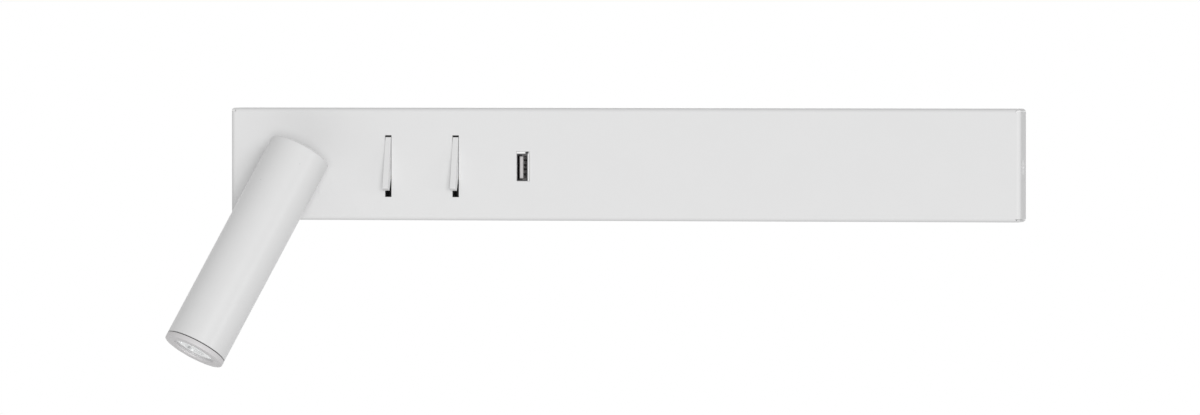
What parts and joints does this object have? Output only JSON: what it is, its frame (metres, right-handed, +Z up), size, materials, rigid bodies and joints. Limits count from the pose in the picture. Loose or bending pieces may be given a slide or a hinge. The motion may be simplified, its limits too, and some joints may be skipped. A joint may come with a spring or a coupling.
{
  "type": "bedside wall light panel",
  "caption": "Long white wall panel over the head of a bed, with a swivelling tubular reading spot, narrow rocker switches and a charging socket.",
  "frame": {"origin": "on the wall plane, at the centre of the two fixing slots in the back plate", "axes": "+X to the user's right along the panel, +Y into the wall, +Z up"},
  "size_m": [0.4184, 0.1134, 0.1282],
  "materials": {
    "panel_paint": "fine white powder coat on folded steel",
    "lamp_paint": "satin white lacquer on aluminium",
    "screw_paint": "white countersunk steel",
    "zinc_steel": "bright zinc plated sheet",
    "hardware_steel": "zinc plated",
    "bare_aluminium": "as extruded",
    "opal_plastic": "opal diffuser",
    "white_board": "white solder mask with light diodes",
    "green_board": "green solder mask",
    "driver_plastic": "moulded white case",
    "white_plastic": "moulded white",
    "rocker_plastic": "moulded white, matched to the paint",
    "tongue_plastic": "moulded off-white",
    "black_plastic": "moulded black",
    "black_rubber": "soft moulding",
    "black_metal": "dark cast plug",
    "clear_nylon": "natural nylon",
    "brass_parts": "plated contacts",
    "socket_steel": "tinned shell",
    "light_source": "phosphor and white disc",
    "lens_clear": "clear collimating lens"
  },
  "bodies": {
    "panel": {"front_cover": "panel_paint", "wall_base": "zinc_steel", "cable_grommet": "black_rubber", "side_screws": "screw_paint", "top_channel": "bare_aluminium", "top_diffuser": "opal_plastic", "top_led_strip": "white_board", "bottom_channel": "bare_aluminium", "bottom_diffuser": "opal_plastic", "bottom_led_strip": "white_board", "channel_rivets": "bare_aluminium", "led_driver": "driver_plastic", "driver_screws": "hardware_steel", "terminal_block": "white_plastic", "terminal_screws": "brass_parts", "block_screw": "hardware_steel", "cover_studs": "hardware_steel", "module_nuts": "hardware_steel", "reader_switch_case": "black_plastic", "reader_pivot_pin": "hardware_steel", "reader_terminals": "brass_parts", "halo_switch_case": "black_plastic", "halo_pivot_pin": "hardware_steel", "halo_terminals": "brass_parts", "usb_case": "white_plastic", "usb_shell": "socket_steel", "usb_tongue": "tongue_plastic", "usb_contacts": "brass_parts", "usb_board": "green_board", "board_screws": "hardware_steel", "outer_washer": "clear_nylon", "inner_washer": "clear_nylon", "stop_pin": "hardware_steel"},
    "reader_switch": {"reader_rocker": "rocker_plastic", "reader_contact": "brass_parts"},
    "halo_switch": {"halo_rocker": "rocker_plastic", "halo_contact": "brass_parts"},
    "lamp_swivel": {"lamp_arm": "lamp_paint", "stop_washer": "hardware_steel", "spring_washer": "hardware_steel", "swivel_nut": "hardware_steel"},
    "lamp_head": {"lamp_tube": "lamp_paint", "rear_plug": "black_metal", "tilt_pin": "hardware_steel", "tilt_washers": "clear_nylon", "heat_sink": "bare_aluminium", "led_board": "light_source", "lens": "lens_clear", "front_ring": "lamp_paint"}
  },
  "joints": [
    {"name": "reader_rock", "type": "hinge", "parent": "panel", "child": "reader_switch", "pos_m": [-0.1194, -0.0334, -0.001], "axis": [1, 0, 0], "range_deg": [0, 32]},
    {"name": "halo_rock", "type": "hinge", "parent": "panel", "child": "halo_switch", "pos_m": [-0.085, -0.0334, -0.001], "axis": [1, 0, 0], "range_deg": [0, 32]},
    {"name": "lamp_turn", "type": "hinge", "parent": "panel", "child": "lamp_swivel", "pos_m": [-0.1623, -0.036, -0.001], "axis": [0, 1, 0], "range_deg": [-189.6, 140.4]},
    {"name": "lamp_tilt", "type": "hinge", "parent": "lamp_swivel", "child": "lamp_head", "pos_m": [-0.1623, -0.063, -0.001], "axis": [-0.9092, 0, 0.4163], "range_deg": [-19.6, 70.4]}
  ]
}
